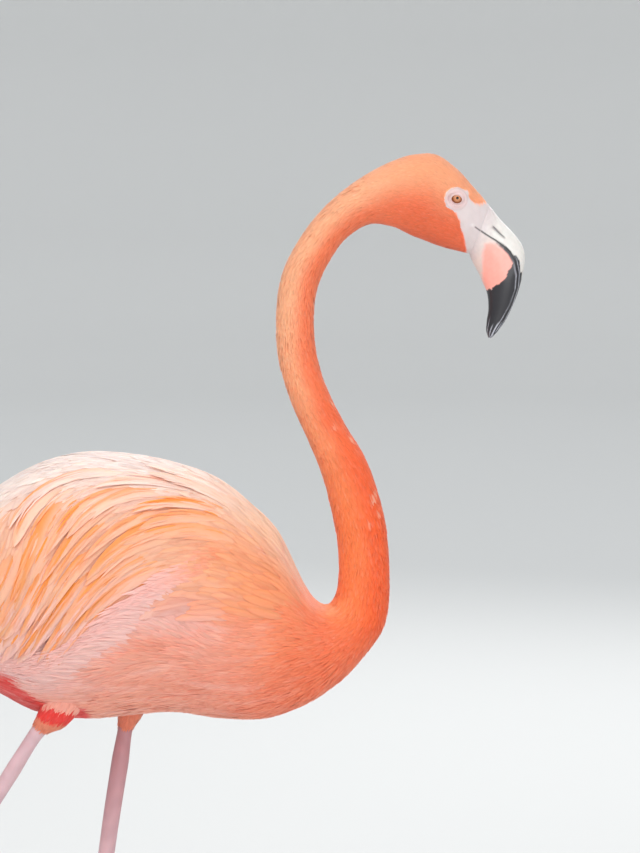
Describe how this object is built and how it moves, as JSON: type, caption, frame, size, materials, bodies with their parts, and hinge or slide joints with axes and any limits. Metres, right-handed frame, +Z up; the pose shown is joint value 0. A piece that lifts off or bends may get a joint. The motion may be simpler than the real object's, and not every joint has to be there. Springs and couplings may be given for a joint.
{
  "type": "flamingo",
  "caption": "Life-size model of a standing American flamingo in mid stride, with a long S-shaped neck, a bent two-tone bill and both webbed feet flat on the floor.",
  "frame": {"origin": "on the floor, under the middle of the bird's bounding box; both soles stand at Z = 0", "axes": "+X forward, the way the bill points; +Y towards the bird's left side; +Z up"},
  "size_m": [0.5917, 0.1914, 1.0349],
  "materials": {
    "body_plumage": "soft overlapping feathers, salmon pink paling on the flank and back",
    "wing_plumage": "long glossy plumes, bright orange and pale peach",
    "neck_plumage": "short velvety feathers, saturated orange",
    "flight_feather": "stiff glossy black vanes",
    "bill": "satin horn, ivory and salmon pink with a black tip",
    "eye": "clear polished cornea over an orange-brown iris",
    "leg_skin": "scaled lilac-pink skin",
    "claw": "dull dark horn"
  },
  "bodies": {
    "root": {"trunk": "body_plumage", "wing_left": "wing_plumage", "wing_right": "wing_plumage", "plumes_left": "wing_plumage", "plumes_right": "wing_plumage", "flight_left": "flight_feather", "flight_right": "flight_feather", "tail": "body_plumage", "thigh_left": "body_plumage", "thigh_right": "body_plumage", "neck_base": "neck_plumage", "neck_lower": "neck_plumage", "neck_middle": "neck_plumage", "neck_upper": "neck_plumage", "head": "neck_plumage", "bill_upper": "bill", "bill_lower": "bill", "eye_left": "eye", "eye_right": "eye", "shin_left": "leg_skin", "shin_right": "leg_skin", "tarsus_left": "leg_skin", "tarsus_right": "leg_skin", "foot_left": "leg_skin", "foot_right": "leg_skin", "claw_inner_left": "claw", "claw_middle_left": "claw", "claw_outer_left": "claw", "claw_hind_left": "claw", "claw_inner_right": "claw", "claw_middle_right": "claw", "claw_outer_right": "claw", "claw_hind_right": "claw"}
  },
  "joints": []
}
